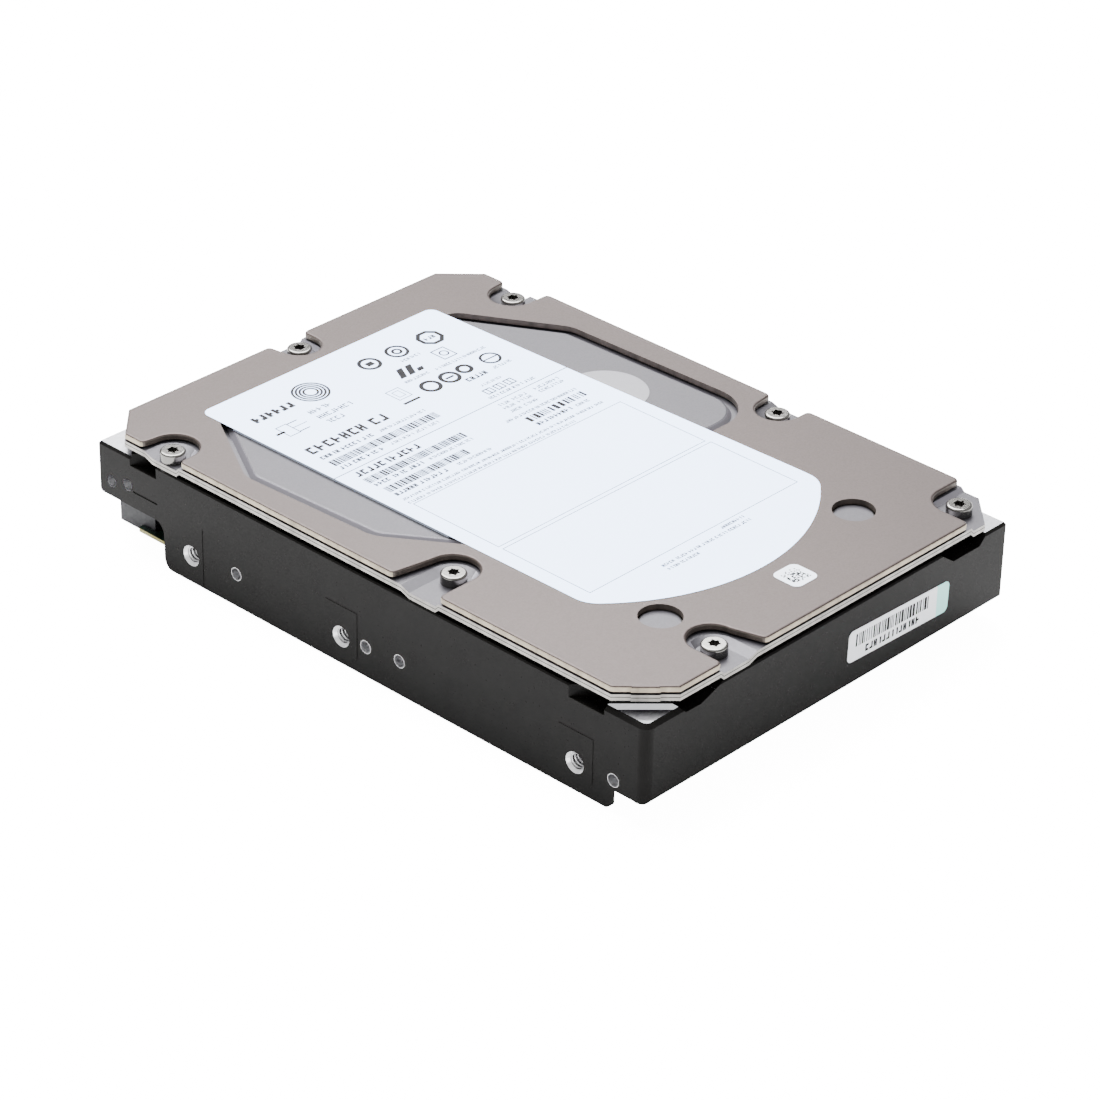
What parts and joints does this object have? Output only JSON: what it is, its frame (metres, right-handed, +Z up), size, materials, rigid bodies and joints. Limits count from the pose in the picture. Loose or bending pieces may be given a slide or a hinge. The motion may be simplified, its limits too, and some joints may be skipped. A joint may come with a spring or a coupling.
{
  "type": "hard disk drive",
  "caption": "Flat oblong data drive with a stepped black cast base, layered metal cover plate with a large angled window, screws in open notches and a flush label.",
  "frame": {"origin": "underside of the side rails, at the middle of the drive's width and length", "axes": "+X to the right seen from the plain end, +Y along the length towards the connector, +Z up through the cover"},
  "size_m": [0.1016, 0.147, 0.0261],
  "materials": {
    "casting_black": "satin black electrocoat over cast aluminium, bare metal on machined pads",
    "cover_steel": "fine-brushed warm nickel tone",
    "plate_steel": "fine-brushed warm nickel tone, rounded edge",
    "gasket_rubber": "matt black",
    "damping_black": "matt black film",
    "damping_grey": "matt grey film edge",
    "screw_steel": "machined, satin",
    "label_white": "smooth printed label",
    "code_sticker": "printed label",
    "bar_sticker": "printed label with mint end",
    "seal_foil": "satin foil",
    "board_green": "solder-masked laminate",
    "foam_grey": "matt foam sheet",
    "chip_black": "moulded",
    "parts_ceramic": "fired",
    "connector_black": "moulded",
    "contact_gold": "gold plated",
    "motor_steel": "turned",
    "lamination_steel": "stacked sheet",
    "winding_copper": "enamelled copper wire",
    "machined_aluminium": "turned",
    "platter_mirror": "polished",
    "bearing_chrome": "ground",
    "magnet_nickel": "nickel plated",
    "spring_steel": "sheet",
    "slider_ceramic": "ground",
    "mould_black": "moulded",
    "flex_amber": "polyimide film",
    "filter_white": "felt"
  },
  "bodies": {
    "drive": {"base_casting": "casting_black", "cover_gasket": "gasket_rubber", "inner_cover_lower": "cover_steel", "inner_cover_film": "damping_grey", "inner_cover_upper": "cover_steel", "damping_film": "damping_black", "top_plate": "plate_steel", "cover_screws": "screw_steel", "main_label": "label_white", "matrix_sticker": "code_sticker", "barcode_sticker": "bar_sticker", "seal_disc": "seal_foil", "circuit_board": "board_green", "board_foam": "foam_grey", "board_screws": "screw_steel", "controller_chip": "chip_black", "memory_chip": "chip_black", "motor_driver_chip": "chip_black", "board_small_parts": "parts_ceramic", "interface_connector": "connector_black", "connector_contacts": "contact_gold", "motor_sleeve": "motor_steel", "stator_core": "lamination_steel", "stator_coils": "winding_copper", "disk_dampers": "machined_aluminium", "bearing_inner_races": "bearing_chrome", "pivot_shaft": "motor_steel", "vcm_bottom_plate": "magnet_nickel", "vcm_top_plate": "magnet_nickel", "vcm_bottom_magnet": "magnet_nickel", "vcm_top_magnet": "magnet_nickel", "vcm_posts": "motor_steel", "crash_stops": "gasket_rubber", "latch_pin": "motor_steel", "head_connector": "connector_black", "flex_bracket": "spring_steel", "flex_ribbon": "flex_amber", "breather_filter": "filter_white", "recirculation_filter": "filter_white", "desiccant_pack": "filter_white"},
    "rotor": {"spindle_hub": "machined_aluminium", "spindle_shaft": "motor_steel", "rotor_yoke": "lamination_steel", "rotor_magnet": "magnet_nickel", "platter_lower": "platter_mirror", "platter_middle": "platter_mirror", "platter_upper": "platter_mirror", "spacer_rings": "machined_aluminium", "disk_clamp": "machined_aluminium", "clamp_screws": "screw_steel"},
    "actuator": {"arm_block": "machined_aluminium", "pivot_sleeve": "motor_steel", "bearing_outer_races": "bearing_chrome", "bearing_balls": "bearing_chrome", "voice_coil": "winding_copper", "coil_overmould": "mould_black", "head_suspensions": "spring_steel", "head_sliders": "slider_ceramic", "head_preamp": "flex_amber"},
    "latch": {"latch_lever": "mould_black"}
  },
  "joints": [
    {"name": "spindle_spin", "type": "hinge", "parent": "drive", "child": "rotor", "pos_m": [0, -0.028, 0.013], "axis": [0, 0, 1], "continuous": true},
    {"name": "actuator_swing", "type": "hinge", "parent": "drive", "child": "actuator", "pos_m": [0.0289, 0.0104, 0.013], "axis": [0, 0, 1], "range_deg": [0, 21.8], "deforming": ["flex_ribbon"]},
    {"name": "latch_swing", "type": "hinge", "parent": "drive", "child": "latch", "pos_m": [0.013, 0.049, 0.013], "axis": [0, 0, 1], "range_deg": [-8, 0]}
  ]
}
